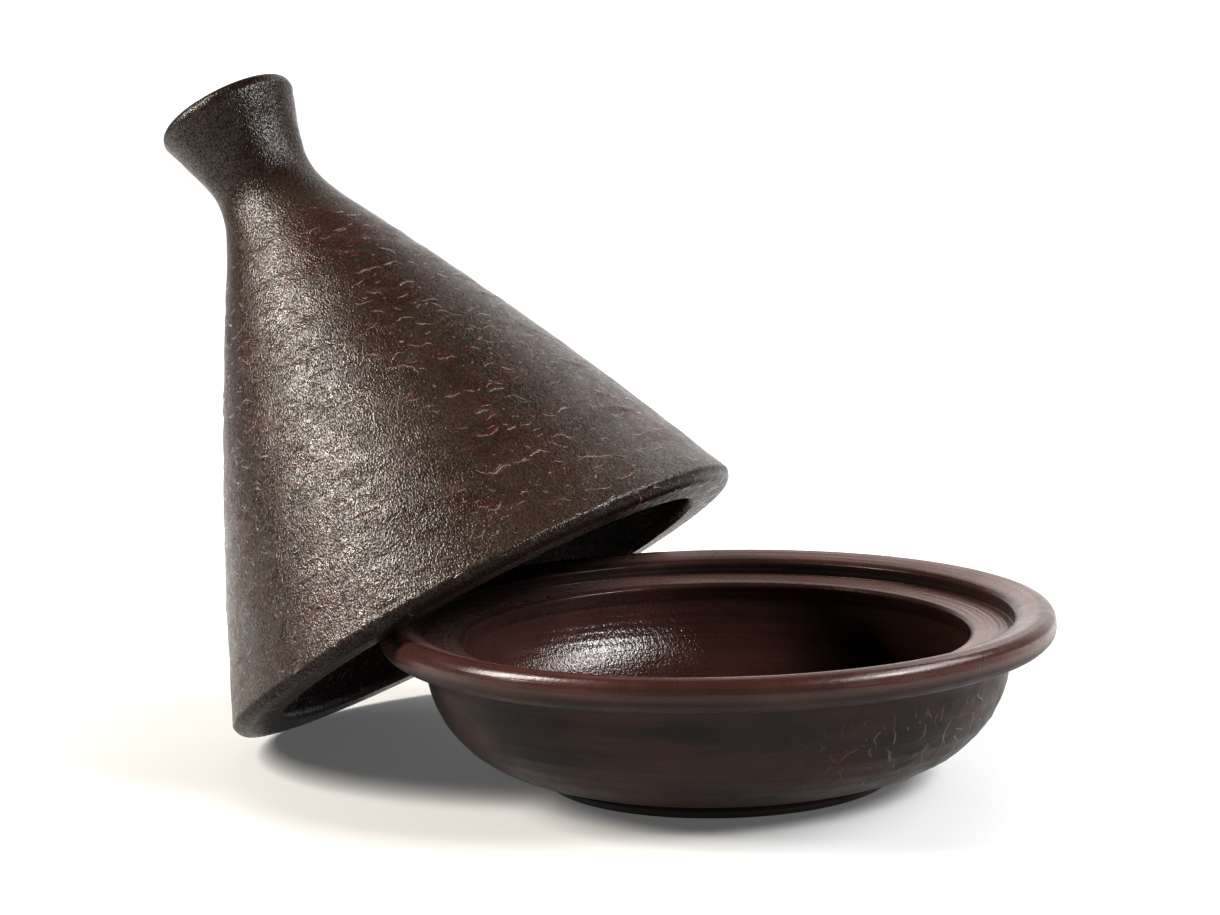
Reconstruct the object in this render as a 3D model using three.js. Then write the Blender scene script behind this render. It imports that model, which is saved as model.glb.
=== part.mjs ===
// Tagine pot: a shallow thrown dish, with its conical lid leaning against the dish's rim.
// Millimetres, +Z up. The origin is the middle of the dish's flat foot, and the lid leans on the -X side.

import * as THREE from 'three';

// Driving dimensions of the dish.
const DISH_RADIUS = 135;
const DISH_HEIGHT = 68;
const FOOT_RADIUS = 71;
const FOOT_HEIGHT = 5;
const FOOT_FLARE = 3;
const RIM_WIDEST_Z = 61;
const RIM_NECK_RADIUS = 119;
const RIM_NECK_Z = 53;
const CREST_RADIUS = 129.5;
const FLANGE_CROWN_RADIUS = 126.5;
const FLANGE_INNER_RADIUS = 118.5;
const FLANGE_INNER_Z = 65.3;
const LEDGE_OUTER_Z = 59;
const LEDGE_INNER_Z = 58.2;
const OPENING_RADIUS = 101;
const BODY_ARC = { radius: 71, z: 50.7, across: 45.9, down: 44.6 };
const BOWL_ARC = { radius: 64, z: 50, across: 40, down: 39 };

// Driving dimensions of the lid, with heights measured from the plane that its rim stands on.
const LID_RADIUS = 116.5;
const LID_HEIGHT = 246.5;
const LID_MOUTH_RADIUS = 96;
const LID_SEAT_RADIUS = 111.5;
const LID_EDGE_HEIGHT = 5.2;
const CONE_TOP = { radius: 37, height: 171 };
const CONE_BULGE = { radius: 82.4, height: 88 };
const NECK_LOW = { radius: 17.5, height: 206.5 };
const NECK_HIGH = { radius: 18.6, height: 206 };
const KNOB_RADIUS = 30.4;
const KNOB_EDGE_HEIGHT = 241.3;
const KNOB_TOP_RADIUS = 25.5;
const KNOB_CUP_RADIUS = 22;
const KNOB_CUP_DEPTH = 4;
const HOLLOW_LOW = { radius: 96, height: 30 };
const HOLLOW_HIGH = { radius: 67, height: 104 };
const HOLLOW_SHOULDER = { radius: 26, height: 172 };
const HOLLOW_TOP = 192;

// How the lid leans: its rim plane is turned up by LEAN, its lowest point stands on the floor,
// and the middle of its mouth is STANDOFF from the dish's axis.
const LEAN = THREE.MathUtils.degToRad(31);
const STANDOFF = 107.9;

const EDGE_ROUNDING = 1.2;
const SEGMENTS = 72;
const ARC_POINTS = 8;

function quarterArc(path, arc, startDegrees, endDegrees) {
  const start = THREE.MathUtils.degToRad(startDegrees);
  const end = THREE.MathUtils.degToRad(endDegrees);
  path.absellipse(arc.radius, arc.z, arc.across, arc.down, start, end, endDegrees < startDegrees, 0);
}

// The dish's section, from the middle of its underside round the outside to the middle of its floor.
function dishSection() {
  const section = new THREE.Path();
  section.moveTo(0, 0);
  section.lineTo(FOOT_RADIUS - EDGE_ROUNDING, 0);
  section.lineTo(FOOT_RADIUS, EDGE_ROUNDING);
  section.lineTo(FOOT_RADIUS + FOOT_FLARE, FOOT_HEIGHT - EDGE_ROUNDING);
  section.lineTo(FOOT_RADIUS + FOOT_FLARE - 0.5 * EDGE_ROUNDING, FOOT_HEIGHT);
  quarterArc(section, BODY_ARC, -82, -5);
  drawRim(section);
  section.lineTo(FLANGE_INNER_RADIUS, LEDGE_OUTER_Z);
  section.lineTo(OPENING_RADIUS + EDGE_ROUNDING, LEDGE_INNER_Z);
  section.lineTo(OPENING_RADIUS, LEDGE_INNER_Z - EDGE_ROUNDING);
  quarterArc(section, BOWL_ARC, 0, -90);
  section.lineTo(0, BOWL_ARC.z - BOWL_ARC.down);
  return section;
}

// The rim swells out of the body, turns over its widest ring and its crest, and falls in along the flange.
function drawRim(section) {
  section.lineTo(RIM_NECK_RADIUS, RIM_NECK_Z);
  section.quadraticCurveTo(DISH_RADIUS, RIM_NECK_Z + 0.5, DISH_RADIUS, RIM_WIDEST_Z);
  section.quadraticCurveTo(DISH_RADIUS, DISH_HEIGHT - 0.1, CREST_RADIUS, DISH_HEIGHT);
  const innerEdge = FLANGE_INNER_RADIUS + EDGE_ROUNDING;
  section.quadraticCurveTo(FLANGE_CROWN_RADIUS, DISH_HEIGHT, innerEdge, FLANGE_INNER_Z);
  section.lineTo(FLANGE_INNER_RADIUS, FLANGE_INNER_Z - EDGE_ROUNDING);
}

// The lid's section, from the top of its hollow down the inside, round the seat and up to the knob.
function lidSection() {
  const section = new THREE.Path();
  section.moveTo(0, HOLLOW_TOP);
  drawHollow(section);
  drawSeat(section);
  section.quadraticCurveTo(CONE_BULGE.radius, CONE_BULGE.height, CONE_TOP.radius, CONE_TOP.height);
  drawKnob(section);
  return section;
}

function drawHollow(section) {
  const slope = (HOLLOW_HIGH.radius - HOLLOW_SHOULDER.radius) / (HOLLOW_SHOULDER.height - HOLLOW_HIGH.height);
  const domeRadius = HOLLOW_SHOULDER.radius - slope * (HOLLOW_TOP - HOLLOW_SHOULDER.height);
  section.quadraticCurveTo(domeRadius, HOLLOW_TOP, HOLLOW_SHOULDER.radius, HOLLOW_SHOULDER.height);
  section.bezierCurveTo(
    HOLLOW_HIGH.radius, HOLLOW_HIGH.height,
    HOLLOW_LOW.radius, HOLLOW_LOW.height,
    LID_MOUTH_RADIUS, EDGE_ROUNDING,
  );
}

function drawSeat(section) {
  section.lineTo(LID_MOUTH_RADIUS + EDGE_ROUNDING, 0);
  section.lineTo(LID_SEAT_RADIUS, 0);
  section.quadraticCurveTo(LID_RADIUS - 0.5 * EDGE_ROUNDING, 0.3 * EDGE_ROUNDING, LID_RADIUS, LID_EDGE_HEIGHT);
}

function drawKnob(section) {
  section.bezierCurveTo(
    NECK_LOW.radius, NECK_LOW.height,
    NECK_HIGH.radius, NECK_HIGH.height,
    KNOB_RADIUS, KNOB_EDGE_HEIGHT,
  );
  section.quadraticCurveTo(KNOB_RADIUS, LID_HEIGHT, KNOB_TOP_RADIUS, LID_HEIGHT);
  section.lineTo(KNOB_CUP_RADIUS, LID_HEIGHT - 0.5 * EDGE_ROUNDING);
  section.quadraticCurveTo(0.6 * KNOB_CUP_RADIUS, LID_HEIGHT - KNOB_CUP_DEPTH, 0, LID_HEIGHT - KNOB_CUP_DEPTH);
}

// A piece turned on the wheel: its section swept round +Z.
function turned(name, section, color, roughness) {
  const geometry = new THREE.LatheGeometry(section.getPoints(ARC_POINTS), SEGMENTS);
  geometry.rotateX(Math.PI / 2);
  const material = new THREE.MeshStandardMaterial({ color, roughness, metalness: 0 });
  const mesh = new THREE.Mesh(geometry, material);
  mesh.name = name;
  return mesh;
}

// The height of the lid's origin that stands its lowest point on the floor.
function standingHeight(section) {
  const depths = section.getPoints(ARC_POINTS).map((p) => p.x * Math.sin(LEAN) - p.y * Math.cos(LEAN));
  return Math.max(...depths);
}

const dish = turned('base_dish', dishSection(), 0x4a302b, 0.5);
const lid = turned('lid', lidSection(), 0x3a2e2a, 0.6);

const leaningLid = new THREE.Group();
leaningLid.position.set(-STANDOFF, 0, standingHeight(lidSection()));
leaningLid.rotation.y = -LEAN;
leaningLid.add(lid);

const taginePot = new THREE.Group();
taginePot.add(dish, leaningLid);

export default taginePot;
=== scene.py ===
"""Tagine pot: a burnished dark clay dish with its conical lid leaning on the rim.

Lengths are in millimetres until a mesh is built, when MM turns them into metres.
"""

import math

import bpy
import numpy as np
from mathutils import Matrix, Vector


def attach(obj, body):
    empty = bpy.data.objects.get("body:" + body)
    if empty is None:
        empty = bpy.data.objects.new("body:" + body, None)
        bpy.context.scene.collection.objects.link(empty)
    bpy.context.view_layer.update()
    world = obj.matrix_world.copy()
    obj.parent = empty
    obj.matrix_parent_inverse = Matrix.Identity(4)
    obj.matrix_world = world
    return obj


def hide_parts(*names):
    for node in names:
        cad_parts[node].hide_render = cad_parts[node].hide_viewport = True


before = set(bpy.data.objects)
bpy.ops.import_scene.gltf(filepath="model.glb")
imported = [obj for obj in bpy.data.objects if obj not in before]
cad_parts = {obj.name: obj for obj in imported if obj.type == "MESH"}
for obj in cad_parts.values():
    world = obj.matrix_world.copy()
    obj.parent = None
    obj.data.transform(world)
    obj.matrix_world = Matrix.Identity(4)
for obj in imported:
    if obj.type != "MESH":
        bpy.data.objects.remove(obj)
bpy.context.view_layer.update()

MM = 0.001
SEED = 20

# The dish's section, as (radius, height).
DISH_RADIUS = 135
DISH_HEIGHT = 68
FOOT_RADIUS = 71
FOOT_HEIGHT = 5
FOOT_FLARE = 3
RIM_WIDEST_Z = 61
RIM_NECK_RADIUS = 119
RIM_NECK_Z = 53
CREST_RADIUS = 129.5
FLANGE_CROWN_RADIUS = 126.5
FLANGE_INNER_RADIUS = 118.5
FLANGE_INNER_Z = 65.3
LEDGE_OUTER_Z = 59
LEDGE_INNER_Z = 58.2
OPENING_RADIUS = 101
BODY_ARC = {"centre": (71, 50.7), "across": 45.9, "down": 44.6}
BOWL_ARC = {"centre": (64, 50), "across": 40, "down": 39}
BOWL_FLOOR_Z = 11

# The lid's section, with heights from the plane that its rim stands on.
LID_RADIUS = 116.5
LID_HEIGHT = 246.5
LID_MOUTH_RADIUS = 96
LID_SEAT_RADIUS = 111.5
LID_EDGE_HEIGHT = 5.2
CONE_TOP = (37, 171)
CONE_BULGE = (82.4, 88)
NECK_LOW = (17.5, 206.5)
NECK_HIGH = (18.6, 206)
KNOB_RADIUS = 30.4
KNOB_EDGE_HEIGHT = 241.3
KNOB_TOP_RADIUS = 25.5
KNOB_CUP_RADIUS = 22
KNOB_CUP_DEPTH = 4
HOLLOW_LOW = (96, 30)
HOLLOW_HIGH = (67, 104)
HOLLOW_SHOULDER = (26, 172)
HOLLOW_TOP = 192

# Where round the dish its outside is scribbled with tool marks, as shares of a turn.
SCRIBBLE_MIDDLE = 0.985
SCRIBBLE_SPREAD = 0.06

# How the lid leans: its rim plane is turned up by LEAN, its lowest point stands on the floor,
# and the middle of its mouth is STANDOFF from the dish's axis.
LEAN = math.radians(31)
STANDOFF = 107.9

EDGE_ROUNDING = 1.2
COLUMNS = 288

# How far the lid's surface is drawn in, so that its shape stays inside the pot's measured box.
LID_INSET = 0.02

# How many tool marks are modelled on each piece.
DISH_SCRATCHES = 130
LID_SCRATCHES = 240

# Where the camera stands, in metres, in a frame turned by VIEW_TURN from the pot's own.
VIEW_TURN = math.radians(30.1)
CAMERA_ELEVATION = math.radians(8.19)
CAMERA_ROLL = math.radians(-1.53)
CAMERA_DISTANCE = 1.1295
CAMERA_TARGET = (-0.0408, 0, 0.1294)
LENS_MM = 83.9
SENSOR_MM = 36

# The point that the softboxes face, in metres in the camera's frame.
LAMP_AIM = (-0.04, 0, 0.1)

# The dark room, as the sine of an elevation where it has one: a white horizon, which is dim
# except behind the pot, and a pale backdrop above it.
ROOM_LIGHT = 0.02
HORIZON_LIGHT = 0.85
HORIZON_DIM = 0.2
HORIZON_TOP = 0.06
ROOM_START = 0.16
BACKDROP_LIGHT = 1.3
BACKDROP_AZIMUTH = math.radians(82)
BACKDROP_TOP = math.sin(math.radians(38))
BACKDROP_END = math.sin(math.radians(58))

# The floor, in metres: its paper, and a glow that grows with the distance from the pot.
FLOOR_HALF = 15
FLOOR_GREY = 0.5
GLOW_CENTRE = (-0.1, 0.02, 0)
GLOW_START = 0.12
GLOW_END = 0.6
GLOW_LIGHT = 0.78
SHADE_LIGHT = 0.1

EXPOSURE = 0.3
GAMMA = 0.84


class Outline:
    """A turned piece's section, drawn stretch by stretch, each with its own spacing and zone name."""

    def __init__(self, r, z):
        self.points = [(r, z)]
        self.zones = ["start"]

    def follow(self, place, spacing, zone):
        rough = [place(i / 40) for i in range(41)]
        length = sum(math.dist(a, b) for a, b in zip(rough, rough[1:]))
        steps = max(1, round(length / spacing))
        for i in range(1, steps + 1):
            self.points.append(place(i / steps))
            self.zones.append(zone)

    def line(self, end, spacing, zone):
        start = self.points[-1]
        self.follow(lambda t: tuple(a + (b - a) * t for a, b in zip(start, end)), spacing, zone)

    def quad(self, control, end, spacing, zone):
        start = self.points[-1]

        def place(t):
            weights = ((1 - t) ** 2, 2 * t * (1 - t), t * t)
            return tuple(sum(w * p[k] for w, p in zip(weights, (start, control, end))) for k in (0, 1))

        self.follow(place, spacing, zone)

    def cubic(self, first, second, end, spacing, zone):
        start = self.points[-1]

        def place(t):
            u = 1 - t
            weights = (u**3, 3 * u * u * t, 3 * u * t * t, t**3)
            corners = (start, first, second, end)
            return tuple(sum(w * p[k] for w, p in zip(weights, corners)) for k in (0, 1))

        self.follow(place, spacing, zone)

    def arc(self, ellipse, start_degrees, end_degrees, spacing, zone):
        a, b = math.radians(start_degrees), math.radians(end_degrees)
        r, z = ellipse["centre"]

        def place(t):
            angle = a + (b - a) * t
            return (r + ellipse["across"] * math.cos(angle), z + ellipse["down"] * math.sin(angle))

        self.line(place(0), spacing, zone)
        self.follow(place, spacing, zone)


class Surface:
    """A turned surface as a grid of rows along the section and columns round the axis."""

    def __init__(self, outline, columns):
        self.r, self.z = np.array(outline.points, float).T
        self.zones = np.array(outline.zones)
        dr, dz = np.gradient(self.r), np.gradient(self.z)
        size = np.hypot(dr, dz)
        self.normal_r, self.normal_z = dz / size, -dr / size
        self.run = np.concatenate([[0], np.cumsum(np.hypot(np.diff(self.r), np.diff(self.z)))])
        self.azimuth = np.arange(columns) * 2 * math.pi / columns
        self.relief = np.zeros((len(self.r), columns))
        self.marks = {"ridge": np.zeros_like(self.relief), "scar": np.zeros_like(self.relief)}

    def zone_weight(self, zone, fade=6):
        """1 on a zone's rows, falling to 0 towards its ends over fade millimetres."""
        rows = np.flatnonzero(self.zones == zone)
        low, high = self.run[rows[0] - 1], self.run[rows[-1]]
        weight = np.minimum(self.run - low, high - self.run) / fade
        return smooth(np.clip(weight, 0, 1))[:, None]

    def mark(self, name, weight):
        """Keeps a weight, given for each row or for the whole grid, as a named mark."""
        self.marks[name] = weight + np.zeros_like(self.relief)

    def mesh(self, name):
        rows, columns = self.relief.shape
        radius = self.r[:, None] + self.normal_r[:, None] * self.relief
        height = self.z[:, None] + self.normal_z[:, None] * self.relief
        grid = np.stack([radius * np.cos(self.azimuth), radius * np.sin(self.azimuth), height], -1)[1:-1]
        ends = [(0, 0, self.z[0]), (0, 0, self.z[-1])]
        vertices = np.concatenate([grid.reshape(-1, 3), ends]) * MM
        index = np.arange((rows - 2) * columns).reshape(rows - 2, columns)
        right = np.roll(index, -1, 1)
        quads = np.stack([index[:-1], right[:-1], right[1:], index[1:]], -1).reshape(-1, 4)
        first, last = index.size, index.size + 1
        bottom = np.stack([np.full(columns, first), right[0], index[0]], -1)
        top = np.stack([np.full(columns, last), index[-1], right[-1]], -1)
        mesh = bpy.data.meshes.new(name)
        mesh.from_pydata(vertices.tolist(), [], quads.tolist() + bottom.tolist() + top.tolist())
        for mark, values in self.marks.items():
            layer = mesh.attributes.new(mark, "FLOAT", "POINT")
            flat = np.concatenate([values[1:-1].ravel(), [0, 0]]).astype(np.float32)
            layer.data.foreach_set("value", flat)
        place = mesh.attributes.new("place", "FLOAT_VECTOR", "POINT")
        place.data.foreach_set("vector", (vertices / MM).astype(np.float32).ravel())
        mesh.shade_smooth()
        mesh.update()
        return bpy.data.objects.new(name, mesh)


def smooth(t):
    return t * t * (3 - 2 * t)


def ripple(rng, surface, waves, longest, shortest, around):
    """Uneven swells of about unit height: sums of waves along the section and round the axis."""
    total = np.zeros_like(surface.relief)
    for _ in range(waves):
        length = math.exp(rng.uniform(math.log(shortest), math.log(longest)))
        turns = int(rng.integers(0, around + 1))
        phase = rng.uniform(0, 2 * math.pi)
        total += np.cos(surface.run[:, None] * 2 * math.pi / length + turns * surface.azimuth + phase)
    return total / math.sqrt(waves / 2)


def scratch(surface, row, column, length, tilt, bend, width, height):
    """One curved tool mark: a ridge that is steep on its lower side, and a stained hollow under it."""
    reach = 0.62 * length + 3 * width
    rows = np.abs(surface.run - surface.run[row]) < reach
    turn = (surface.azimuth - surface.azimuth[column] + math.pi) % (2 * math.pi) - math.pi
    across_turn = turn * surface.r[row]
    columns = np.abs(across_turn) < reach
    x = across_turn[None, columns]
    y = (surface.run - surface.run[row])[rows, None]
    along = x * math.cos(tilt) + y * math.sin(tilt)
    across = y * math.cos(tilt) - x * math.sin(tilt) - bend * along**2 / length
    ends = smooth(np.clip(1.15 - np.abs(along) / (0.5 * length), 0, 1))
    near = np.exp(-((across / width) ** 2))
    crest = np.where(across < 0, near, np.exp(-((across / (2.6 * width)) ** 2)))
    hollow = np.exp(-(((across + 1.5 * width) / width) ** 2))
    window = np.ix_(rows, columns)
    surface.relief[window] += height * ends * (crest - 0.45 * hollow)
    surface.marks["ridge"][window] = np.maximum(surface.marks["ridge"][window], ends * near)
    surface.marks["scar"][window] = np.maximum(surface.marks["scar"][window], ends * hollow)


def dish_outline():
    o = Outline(0, 0)
    o.line((FOOT_RADIUS - EDGE_ROUNDING, 0), 6, "underside")
    o.line((FOOT_RADIUS, EDGE_ROUNDING), 0.6, "foot")
    o.line((FOOT_RADIUS + FOOT_FLARE, FOOT_HEIGHT - EDGE_ROUNDING), 0.8, "foot")
    o.line((FOOT_RADIUS + FOOT_FLARE - 0.5 * EDGE_ROUNDING, FOOT_HEIGHT), 0.5, "foot")
    o.arc(BODY_ARC, -82, -5, 0.8, "body")
    o.line((RIM_NECK_RADIUS, RIM_NECK_Z), 0.6, "neck")
    o.quad((DISH_RADIUS, RIM_NECK_Z + 0.5), (DISH_RADIUS, RIM_WIDEST_Z), 0.7, "rim")
    o.quad((DISH_RADIUS, DISH_HEIGHT - 0.1), (CREST_RADIUS, DISH_HEIGHT), 0.6, "rim")
    inner_edge = (FLANGE_INNER_RADIUS + EDGE_ROUNDING, FLANGE_INNER_Z)
    o.quad((FLANGE_CROWN_RADIUS, DISH_HEIGHT), inner_edge, 0.6, "flange")
    o.line((FLANGE_INNER_RADIUS, FLANGE_INNER_Z - EDGE_ROUNDING), 0.4, "edge")
    o.line((FLANGE_INNER_RADIUS, LEDGE_OUTER_Z), 0.4, "step")
    o.line((OPENING_RADIUS + EDGE_ROUNDING, LEDGE_INNER_Z), 0.6, "ledge")
    o.line((OPENING_RADIUS, LEDGE_INNER_Z - EDGE_ROUNDING), 0.4, "edge")
    o.arc(BOWL_ARC, 0, -90, 1.2, "bowl")
    o.line((0, BOWL_FLOOR_Z), 4, "bowl")
    return o


def lid_outline():
    slope = (HOLLOW_HIGH[0] - HOLLOW_SHOULDER[0]) / (HOLLOW_SHOULDER[1] - HOLLOW_HIGH[1])
    dome_radius = HOLLOW_SHOULDER[0] - slope * (HOLLOW_TOP - HOLLOW_SHOULDER[1])
    o = Outline(0, HOLLOW_TOP)
    o.quad((dome_radius, HOLLOW_TOP), HOLLOW_SHOULDER, 5, "hollow")
    o.cubic(HOLLOW_HIGH, HOLLOW_LOW, (LID_MOUTH_RADIUS, EDGE_ROUNDING), 6, "hollow")
    o.line((LID_MOUTH_RADIUS + EDGE_ROUNDING, 0), 0.5, "mouth")
    o.line((LID_SEAT_RADIUS, 0), 1.5, "seat")
    o.quad((LID_RADIUS - 0.5 * EDGE_ROUNDING, 0.3 * EDGE_ROUNDING), (LID_RADIUS, LID_EDGE_HEIGHT), 0.7, "lip")
    o.quad(CONE_BULGE, CONE_TOP, 0.85, "cone")
    o.cubic(NECK_LOW, NECK_HIGH, (KNOB_RADIUS, KNOB_EDGE_HEIGHT), 0.85, "knob")
    o.quad((KNOB_RADIUS, LID_HEIGHT), (KNOB_TOP_RADIUS, LID_HEIGHT), 0.6, "crown")
    o.line((KNOB_CUP_RADIUS, LID_HEIGHT - 0.5 * EDGE_ROUNDING), 0.8, "crown")
    cup_floor = LID_HEIGHT - KNOB_CUP_DEPTH
    o.quad((0.6 * KNOB_CUP_RADIUS, cup_floor), (0, cup_floor), 1.2, "cup")
    return o


def build_dish():
    rng = np.random.default_rng(SEED)
    surface = Surface(dish_outline(), COLUMNS)
    outside = surface.zone_weight("body")
    surface.relief += outside * (0.05 * ripple(rng, surface, 14, 30, 6, 2) - 0.1)
    turn = (surface.azimuth / (2 * math.pi) - SCRIBBLE_MIDDLE + 0.5) % 1 - 0.5
    scribbled = np.exp(-((turn / (1.6 * SCRIBBLE_SPREAD)) ** 4))
    surface.mark("scribble", surface.zone_weight("body", 5) * scribbled)
    turned = surface.zone_weight("step", 1) + surface.zone_weight("ledge", 3)
    surface.relief += turned * 0.07 * ripple(rng, surface, 16, 5, 1.8, 2)
    rolled = surface.zone_weight("flange", 2) + surface.zone_weight("rim", 2)
    surface.relief += rolled * (0.022 * ripple(rng, surface, 16, 9, 2.2, 2) - 0.07)
    # Darker outside below the rim's widest ring: soot on the body, and painted shade under the rim's bead;
    # the step wall inside is darkened as painted shade too.
    outer = np.arange(len(surface.r)) < np.flatnonzero(surface.zones == "flange")[0]
    under = np.where(outer, np.clip((RIM_WIDEST_Z + 1 - surface.z) / 4, 0, 1), 0)
    surface.mark("soot_and_shade", np.maximum(smooth(under)[:, None], surface.zone_weight("step", 1)))
    # Painted light: the flange and ledge, which face up, are lightened.
    surface.mark("painted_top_light", np.maximum(surface.zone_weight("flange", 3), surface.zone_weight("ledge", 2)))
    surface.mark("bowl", surface.zone_weight("bowl", 8))
    surface.mark("polish", np.maximum(surface.marks["bowl"], 0.6 - 0.6 * surface.marks["soot_and_shade"]))
    rows = np.flatnonzero(surface.zones == "body")
    for _ in range(DISH_SCRATCHES):
        row = int(rng.choice(rows[len(rows) // 4 :]))
        column = int(COLUMNS * rng.normal(SCRIBBLE_MIDDLE, SCRIBBLE_SPREAD)) % COLUMNS
        length = rng.uniform(7, 24)
        tilt = rng.uniform(-1.5, 1.5)
        bend = rng.uniform(-0.9, 0.9)
        scratch(surface, row, column, length, tilt, bend, 1.0, rng.uniform(0.06, 0.2))
    return surface.mesh("dish_clay_body")


def lid_place():
    """Leans the lid by LEAN and stands its lowest point on the floor."""
    section = np.array(lid_outline().points)
    standing = max(section[:, 0] * math.sin(LEAN) - section[:, 1] * math.cos(LEAN))
    lift = Matrix.Translation(Vector((-STANDOFF, 0, standing)) * MM)
    return lift @ Matrix.Rotation(-LEAN, 4, "Y")


def build_lid():
    rng = np.random.default_rng(SEED + 1)
    surface = Surface(lid_outline(), COLUMNS)
    outside = np.maximum(surface.zone_weight("cone", 10), 0.6 * surface.zone_weight("knob", 10))
    # The lip and seat, which are darkened as painted shade in lid_clay.
    surface.mark("lip", surface.zone_weight("lip", 1) + surface.zone_weight("seat", 1))
    surface.relief += outside * (0.1 * ripple(rng, surface, 30, 70, 12, 7) - 0.25) - LID_INSET
    rows = np.flatnonzero(surface.zones == "cone")
    area = surface.r[rows] / surface.r[rows].sum()
    for _ in range(LID_SCRATCHES):
        row = int(rng.choice(rows[4:], p=area[4:] / area[4:].sum()))
        column = int(rng.integers(0, COLUMNS))
        length = rng.uniform(7, 22)
        tilt = math.radians(rng.normal(-19, 14))
        bend = rng.normal(0, 0.5)
        scratch(surface, row, column, length, tilt, bend, rng.uniform(0.7, 0.9), rng.uniform(0.12, 0.36))
    lid = surface.mesh("lid_clay_body")
    lid.data.transform(lid_place())
    return lid


class Clay:
    """A material's node tree, with one call for each node. Sizes are in millimetres."""

    def __init__(self, name):
        self.material = bpy.data.materials.new(name)
        self.material.use_nodes = True
        self.tree = self.material.node_tree
        self.tree.nodes.clear()
        self.place = self.add("Attribute", attribute_name="place").outputs["Vector"]

    def add(self, kind, *values, named=None, **settings):
        node = self.tree.nodes.new("ShaderNode" + kind)
        for key, value in settings.items():
            setattr(node, key, value)
        for socket, value in list(enumerate(values)) + list((named or {}).items()):
            if isinstance(value, bpy.types.NodeSocket):
                self.tree.links.new(value, node.inputs[socket])
            else:
                node.inputs[socket].default_value = value
        return node

    def noise(self, size, detail=2.0, roughness=0.5, stretch=(1, 1, 1)):
        place = self.vector("MULTIPLY", self.place, stretch)
        named = {"Vector": place, "Scale": 1 / size, "Detail": detail, "Roughness": roughness}
        return self.add("TexNoise", named=named).outputs["Fac"]

    def step(self, value, low, high, to_low=0.0, to_high=1.0):
        named = {"Value": value, "From Min": low, "From Max": high, "To Min": to_low, "To Max": to_high}
        return self.add("MapRange", named=named, interpolation_type="SMOOTHSTEP").outputs[0]

    def maths(self, operation, a, b=0.0):
        return self.add("Math", a, b, operation=operation).outputs[0]

    def vector(self, operation, a, b=(0, 0, 0)):
        return self.add("VectorMath", a, b, operation=operation).outputs[0]

    def dot(self, a, b):
        return self.add("VectorMath", a, b, operation="DOT_PRODUCT").outputs["Value"]

    def blend(self, factor, a, b, blend_type="MIX"):
        named = {0: factor, 6: a, 7: b}
        return self.add("Mix", data_type="RGBA", blend_type=blend_type, named=named).outputs[2]

    def rings(self, size, detail=2.0, drift=0.03):
        """Noise that runs round the axis in bands and changes slowly along each band."""
        flat = self.vector("MULTIPLY", self.place, (1, 1, 0))
        radius = self.add("VectorMath", flat, operation="LENGTH").outputs["Value"]
        parts = self.add("SeparateXYZ", self.place)
        shift = self.maths("MULTIPLY", parts.outputs[0], drift)
        turn = self.maths("MULTIPLY", parts.outputs[1], drift)
        level = self.maths("ADD", parts.outputs[2], turn)
        bands = self.add("CombineXYZ", radius, shift, level).outputs[0]
        named = {"Vector": bands, "Scale": 1 / size, "Detail": detail}
        return self.add("TexNoise", named=named).outputs["Fac"]

    def height(self):
        return self.add("SeparateXYZ", self.place).outputs[2]

    def mark(self, name):
        return self.add("Attribute", attribute_name=name).outputs["Fac"]

    def bump(self, height, distance, strength=1.0, normal=None):
        named = {"Height": height, "Distance": distance * MM, "Strength": strength}
        if normal is not None:
            named["Normal"] = normal
        return self.add("Bump", named=named).outputs[0]

    def axes(self, slope):
        """Unit vectors round the axis and up a cone whose radius grows by slope per unit of height."""
        outward = self.vector("NORMALIZE", self.vector("MULTIPLY", self.place, (1, 1, 0)))
        around = self.vector("CROSS_PRODUCT", (0, 0, 1), outward)
        rise = self.vector("ADD", self.vector("MULTIPLY", outward, (slope,) * 3), (0, 0, 1))
        return around, self.vector("NORMALIZE", rise)

    def strokes(self, cell, length, width, slope, lean, spread, bend, offset):
        """Short curved tool marks, one to a Voronoi cell, as how raised and how stained each point is."""
        where = self.vector("ADD", self.place, offset)
        named = {"Vector": where, "Scale": 1 / cell}
        cells = self.add("TexVoronoi", named=named)
        border = self.add("TexVoronoi", named=named, feature="DISTANCE_TO_EDGE")
        gap = self.vector("SUBTRACT", where, cells.outputs["Position"])
        around, rise = self.axes(slope)
        x, y = self.dot(gap, around), self.dot(gap, rise)
        chance = self.add("SeparateColor", cells.outputs["Color"])
        tilt = self.step(chance.outputs[0], 0, 1, lean - spread, lean + spread)
        cosine, sine = self.maths("COSINE", tilt), self.maths("SINE", tilt)
        along = self.maths("ADD", self.maths("MULTIPLY", x, cosine), self.maths("MULTIPLY", y, sine))
        across = self.maths("SUBTRACT", self.maths("MULTIPLY", y, cosine), self.maths("MULTIPLY", x, sine))
        curl = self.step(chance.outputs[1], 0, 1, -bend / length, bend / length)
        sag = self.maths("MULTIPLY", curl, self.maths("MULTIPLY", along, along))
        wander = self.step(self.noise(6, 1), 0.2, 0.8, -2.5 * width, 2.5 * width)
        across = self.maths("SUBTRACT", self.maths("SUBTRACT", across, sag), wander)
        half = self.step(chance.outputs[2], 0.2, 0.9, 0.04 * length, 0.5 * length)
        taper = self.step(self.maths("DIVIDE", self.maths("ABSOLUTE", along), half), 1.0, 0.3)
        taper = self.maths("MULTIPLY", taper, self.step(border.outputs["Distance"], 0.0, 0.1))
        lower, upper = self.step(across, -width, 0), self.step(across, 2.2 * width, 0)
        crest = self.maths("MULTIPLY", taper, self.maths("MULTIPLY", lower, upper))
        above = self.maths("SUBTRACT", across, 2.2 * width)
        beside = self.step(self.maths("ABSOLUTE", above), 1.6 * width, 0.3 * width)
        return crest, self.maths("MULTIPLY", taper, beside)

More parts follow.
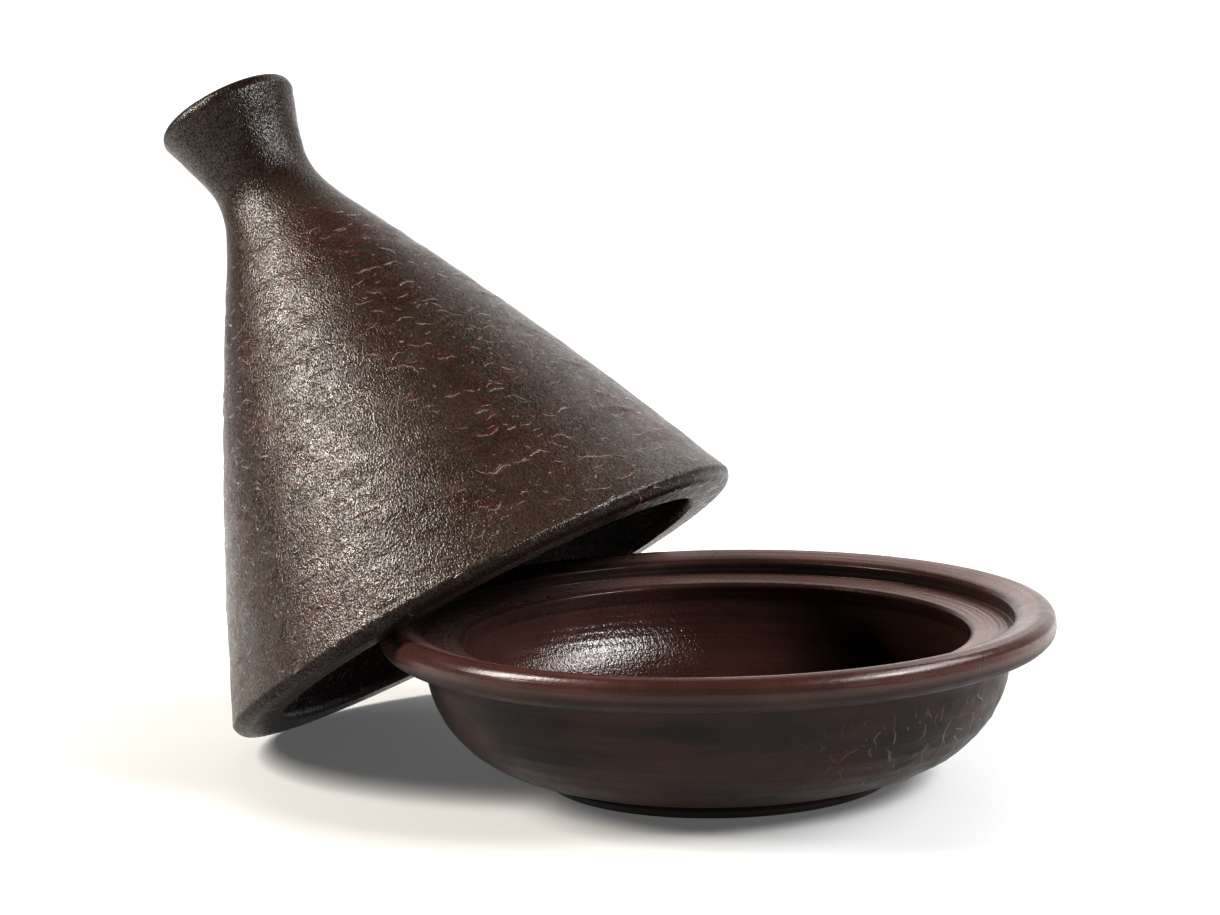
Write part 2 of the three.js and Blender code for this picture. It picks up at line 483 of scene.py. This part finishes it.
    def finish(self, colour, roughness, normal, gloss, ior=1.38):
        named = {"Base Color": colour, "Roughness": roughness, "Normal": normal}
        named.update({"Specular IOR Level": gloss, "IOR": ior})
        shader = self.add("BsdfPrincipled", named=named)
        output = self.add("OutputMaterial")
        self.tree.links.new(shader.outputs[0], output.inputs["Surface"])
        return self.material


def rgb(red, green, blue):
    return (red, green, blue, 1)


def lid_clay():
    clay = Clay("lid_clay")
    broad, fine = clay.noise(34), clay.noise(5, 4)
    body = clay.step(clay.height(), 196, 160)
    long_crest, long_stain = clay.strokes(13.5, 14, 0.36, -0.48, -0.33, 0.3, 1.1, (0, 0, 0))
    short_crest, short_stain = clay.strokes(8.5, 7.5, 0.32, -0.48, -0.33, 0.5, 1.2, (31, 17, 53))
    lone_stain, _ = clay.strokes(7, 7, 0.4, -0.48, -0.33, 0.35, 0.8, (73, 5, 29))
    crest = clay.maths("MULTIPLY", clay.maths("MAXIMUM", long_crest, short_crest), body)
    stain = clay.maths("MAXIMUM", clay.maths("MAXIMUM", long_stain, short_stain), lone_stain)
    stain = clay.maths("MULTIPLY", stain, body)
    colour = clay.blend(clay.step(broad, 0.35, 0.65), rgb(0.026, 0.0145, 0.0092), rgb(0.036, 0.0235, 0.0165))
    maroon = clay.step(clay.noise(30, 4, 0.6), 0.5, 0.66, 0, 0.6)
    colour = clay.blend(maroon, colour, rgb(0.040, 0.0135, 0.0108))
    stained = clay.step(clay.noise(23, 2), 0.42, 0.6, 0.15, 0.85)
    scar = clay.maths("MULTIPLY", clay.mark("scar"), 0.3)
    stain = clay.maths("MULTIPLY", clay.maths("MAXIMUM", stain, scar), stained)
    colour = clay.blend(stain, colour, rgb(0.082, 0.009, 0.010))
    # Painted highlight: the stroke crests and the modelled ridges are lightened, partly their own paler
    # burnished clay and partly the glint of light along them.
    colour = clay.blend(clay.maths("MULTIPLY", crest, 0.7), colour, rgb(0.22, 0.185, 0.165))
    colour = clay.blend(clay.maths("MULTIPLY", clay.mark("ridge"), 0.2), colour, rgb(0.12, 0.09, 0.075))
    grain = clay.noise(0.68, 1, 0.5, (1, 1, 0.55))
    dark = clay.blend(1.0, colour, rgb(0.6, 0.6, 0.6), "MULTIPLY")
    colour = clay.blend(clay.step(grain, 0.38, 0.58), dark, colour)
    # Painted shade: the lip and seat under the lid, and the knob towards its top, are darkened.
    shade = clay.maths("MAXIMUM", clay.mark("lip"), clay.step(clay.height(), 180, 205, 0, 0.7))
    colour = clay.blend(shade, colour, clay.blend(1.0, colour, rgb(0.45, 0.42, 0.42), "MULTIPLY"))
    roughness = clay.step(fine, 0.3, 0.7, 0.24, 0.35)
    roughness = clay.maths("SUBTRACT", roughness, clay.maths("MULTIPLY", crest, 0.1))
    gloss = clay.step(grain, 0.36, 0.6, 0.18, 0.7)
    gloss = clay.maths("MULTIPLY", gloss, clay.step(clay.noise(11, 2), 0.3, 0.7, 0.8, 1.25))
    gloss = clay.maths("MAXIMUM", gloss, crest)
    gloss = clay.maths("MULTIPLY", gloss, clay.step(shade, 0, 1, 1, 0.6))
    normal = clay.bump(grain, 0.34)
    normal = clay.bump(clay.noise(1.5, 2, 0.6, (1, 1, 0.35)), 0.1, normal=normal)
    normal = clay.bump(clay.noise(6, 2), 0.25, normal=normal)
    normal = clay.bump(crest, 0.5, normal=normal)
    return clay.finish(colour, roughness, normal, gloss)


def dish_clay():
    clay = Clay("dish_clay")
    polish, bowl = clay.mark("polish"), clay.mark("bowl")
    patches = clay.step(clay.noise(40, 3), 0.35, 0.65)
    colour = clay.blend(patches, rgb(0.042, 0.0170, 0.0132), rgb(0.058, 0.0235, 0.0180))
    cover = clay.step(clay.noise(26, 3, 0.5, (0.6, 0.6, 1.8)), 0.3, 0.62, 1.0, 0.4)
    # Painted light: the upward-facing flange and ledge are lightened.
    colour = clay.blend(clay.maths("MULTIPLY", clay.mark("painted_top_light"), 0.9), colour, rgb(0.130, 0.076, 0.066))
    # Soot on the body, with painted shade under the rim's bead and on the step wall.
    soot_and_shade = clay.maths("MULTIPLY", clay.mark("soot_and_shade"), cover)
    colour = clay.blend(soot_and_shade, colour, rgb(0.0130, 0.0108, 0.0100))
    bands = clay.rings(2.2, 3)
    shaded = clay.blend(1.0, colour, rgb(0.55, 0.55, 0.55), "MULTIPLY")
    colour = clay.blend(clay.step(bands, 0.3, 0.7, 0, 0.5), colour, shaded)
    long_crest, long_stain = clay.strokes(12, 20, 0.42, 1.0, 0, 1.5, 3.0, (0, 0, 0))
    short_crest, short_stain = clay.strokes(8, 12, 0.34, 1.0, 0, 1.5, 2.4, (13, 29, 41))
    scribble = clay.mark("scribble")
    crest = clay.maths("MULTIPLY", clay.maths("MAXIMUM", long_crest, short_crest), scribble)
    stain = clay.maths("MULTIPLY", clay.maths("MAXIMUM", long_stain, short_stain), scribble)
    colour = clay.blend(clay.maths("MULTIPLY", stain, 0.7), colour, rgb(0.055, 0.012, 0.011))
    # Painted highlight: the scribble crests are lightened, partly their own paler clay and partly the glint
    # of light along them.
    colour = clay.blend(clay.maths("MULTIPLY", crest, 0.6), colour, rgb(0.15, 0.11, 0.10))
    grain = clay.noise(1.0, 2, 0.5, (1, 1, 0.6))
    rough = clay.step(clay.noise(9, 3), 0.3, 0.7, 0.34, 0.44)
    shine = clay.step(clay.noise(9, 3), 0.3, 0.7, 0.18, 0.24)
    roughness = clay.add("Mix", named={0: polish, 2: rough, 3: shine}).outputs[0]
    normal = clay.bump(bands, 0.24)
    normal = clay.bump(clay.maths("MULTIPLY", grain, clay.step(bowl, 0, 1, 0.25, 1)), 0.3, normal=normal)
    normal = clay.bump(crest, 0.3, normal=normal)
    speckle = clay.step(grain, 0.36, 0.6, 0.3, 0.65)
    gloss = clay.add("Mix", named={0: polish, 2: 0.22, 3: 0.5}).outputs[0]
    gloss = clay.add("Mix", named={0: bowl, 2: gloss, 3: speckle}).outputs[0]
    return clay.finish(colour, roughness, normal, gloss, 1.45)


def turn_to_pot(vector):
    return Matrix.Rotation(VIEW_TURN, 3, "Z") @ Vector(vector)


def add_camera():
    e, roll = CAMERA_ELEVATION, CAMERA_ROLL
    forward = Vector((0, math.cos(e), -math.sin(e)))
    level = Vector((1, 0, 0))
    upright = Vector((0, math.sin(e), math.cos(e)))
    right = math.cos(roll) * level + math.sin(roll) * upright
    up = math.cos(roll) * upright - math.sin(roll) * level
    place = Vector(CAMERA_TARGET) - CAMERA_DISTANCE * forward
    data = bpy.data.cameras.new("camera")
    data.lens = LENS_MM
    data.sensor_width = SENSOR_MM
    camera = bpy.data.objects.new("camera", data)
    axes = Matrix([turn_to_pot(right), turn_to_pot(up), turn_to_pot(-forward)]).transposed()
    camera.matrix_world = Matrix.Translation(turn_to_pot(place)) @ axes.to_4x4()
    bpy.context.scene.collection.objects.link(camera)
    bpy.context.scene.camera = camera


def add_softbox(name, azimuth, elevation, distance, width, height, power, tint=(1, 1, 1)):
    """A rectangular lamp facing the pot: degrees in the camera's frame, then metres and watts."""
    a, e = math.radians(azimuth), math.radians(elevation)
    away = turn_to_pot((math.cos(a) * math.cos(e), math.sin(a) * math.cos(e), math.sin(e)))
    data = bpy.data.lights.new(name, "AREA")
    data.shape = "RECTANGLE"
    data.size = width
    data.size_y = height
    data.energy = power
    data.color = tint
    lamp = bpy.data.objects.new(name, data)
    aim = turn_to_pot(LAMP_AIM)
    lamp.location = aim + away * distance
    lamp.rotation_euler = away.to_track_quat("Z", "Y").to_euler()
    bpy.context.scene.collection.objects.link(lamp)


def ramp(tree, value, low, high, to_low, to_high):
    """A socket that holds to_low where value is under low, and turns smoothly to to_high over high."""
    node = tree.nodes.new("ShaderNodeMapRange")
    node.interpolation_type = "SMOOTHSTEP"
    for name, number in (("From Min", low), ("From Max", high), ("To Min", to_low), ("To Max", to_high)):
        node.inputs[name].default_value = number
    tree.links.new(value, node.inputs["Value"])
    return node.outputs[0]


def combine(tree, operation, a, b):
    node = tree.nodes.new("ShaderNodeMath")
    node.operation = operation
    tree.links.new(a, node.inputs[0])
    tree.links.new(b, node.inputs[1])
    return node.outputs[0]


def add_surroundings():
    """A dark room with a white horizon, and a pale backdrop behind the pot."""
    world = bpy.data.worlds.new("studio")
    world.use_nodes = True
    tree = world.node_tree
    direction = tree.nodes.new("ShaderNodeTexCoord").outputs["Generated"]
    parts = tree.nodes.new("ShaderNodeSeparateXYZ")
    tree.links.new(direction, parts.inputs[0])
    facing = tree.nodes.new("ShaderNodeVectorMath")
    facing.operation = "DOT_PRODUCT"
    backdrop_way = (math.cos(BACKDROP_AZIMUTH), math.sin(BACKDROP_AZIMUTH), 0)
    facing.inputs[1].default_value = turn_to_pot(backdrop_way)
    tree.links.new(direction, facing.inputs[0])
    seen = ramp(tree, facing.outputs["Value"], 0.6, 0.93, HORIZON_DIM, HORIZON_LIGHT)
    band = ramp(tree, parts.outputs[2], HORIZON_TOP, ROOM_START, 1, ROOM_LIGHT)
    horizon = combine(tree, "MULTIPLY", seen, band)
    behind = ramp(tree, facing.outputs["Value"], 0.6, 0.95, 0, BACKDROP_LIGHT)
    low = ramp(tree, parts.outputs[2], BACKDROP_TOP, BACKDROP_END, 1, 0)
    backdrop = combine(tree, "MULTIPLY", behind, low)
    background = tree.nodes["Background"]
    tree.links.new(combine(tree, "MAXIMUM", horizon, backdrop), background.inputs["Strength"])
    background.inputs["Color"].default_value = rgb(1, 1, 1)
    bpy.context.scene.world = world


def add_floor():
    """Pale paper, lit round the pot by the lamps, that glows white farther out."""
    mesh = bpy.data.meshes.new("floor")
    half = FLOOR_HALF
    corners = [(-half, -half, 0), (half, -half, 0), (half, half, 0), (-half, half, 0)]
    mesh.from_pydata(corners, [], [(0, 1, 2, 3)])
    floor = bpy.data.objects.new("floor", mesh)
    bpy.context.scene.collection.objects.link(floor)
    paper = bpy.data.materials.new("floor_paper")
    paper.use_nodes = True
    tree = paper.node_tree
    shader = tree.nodes["Principled BSDF"]
    shader.inputs["Base Color"].default_value = rgb(FLOOR_GREY, FLOOR_GREY, FLOOR_GREY)
    shader.inputs["Roughness"].default_value = 0.9
    shader.inputs["Emission Color"].default_value = rgb(1, 1, 1)
    place = tree.nodes.new("ShaderNodeTexCoord").outputs["Object"]
    away = tree.nodes.new("ShaderNodeVectorMath")
    away.operation = "DISTANCE"
    away.inputs[1].default_value = turn_to_pot(GLOW_CENTRE)
    tree.links.new(place, away.inputs[0])
    glow = ramp(tree, away.outputs["Value"], GLOW_START, GLOW_END, SHADE_LIGHT, GLOW_LIGHT)
    tree.links.new(glow, shader.inputs["Emission Strength"])
    mesh.materials.append(paper)


def add_studio():
    add_surroundings()
    add_floor()
    add_softbox("key", -173, 37, 1.6, 0.32, 0.9, 45, (1, 0.95, 0.87))
    add_softbox("fill", -29, 34, 1.7, 0.5, 0.5, 28)
    add_softbox("side", -4, 38, 1.7, 0.8, 0.6, 19)
    add_softbox("rim", 55, 40, 1.8, 0.6, 0.6, 3)


def place_piece(piece, body, node, material):
    piece.data.materials.append(material)
    bpy.context.scene.collection.objects.link(piece)
    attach(piece, body)
    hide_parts(node)


place_piece(build_dish(), "dish", "base_dish", dish_clay())
place_piece(build_lid(), "lid", "lid", lid_clay())
add_studio()
add_camera()
bpy.context.scene.view_settings.view_transform = "Standard"
bpy.context.scene.view_settings.exposure = EXPOSURE
bpy.context.scene.view_settings.gamma = GAMMA
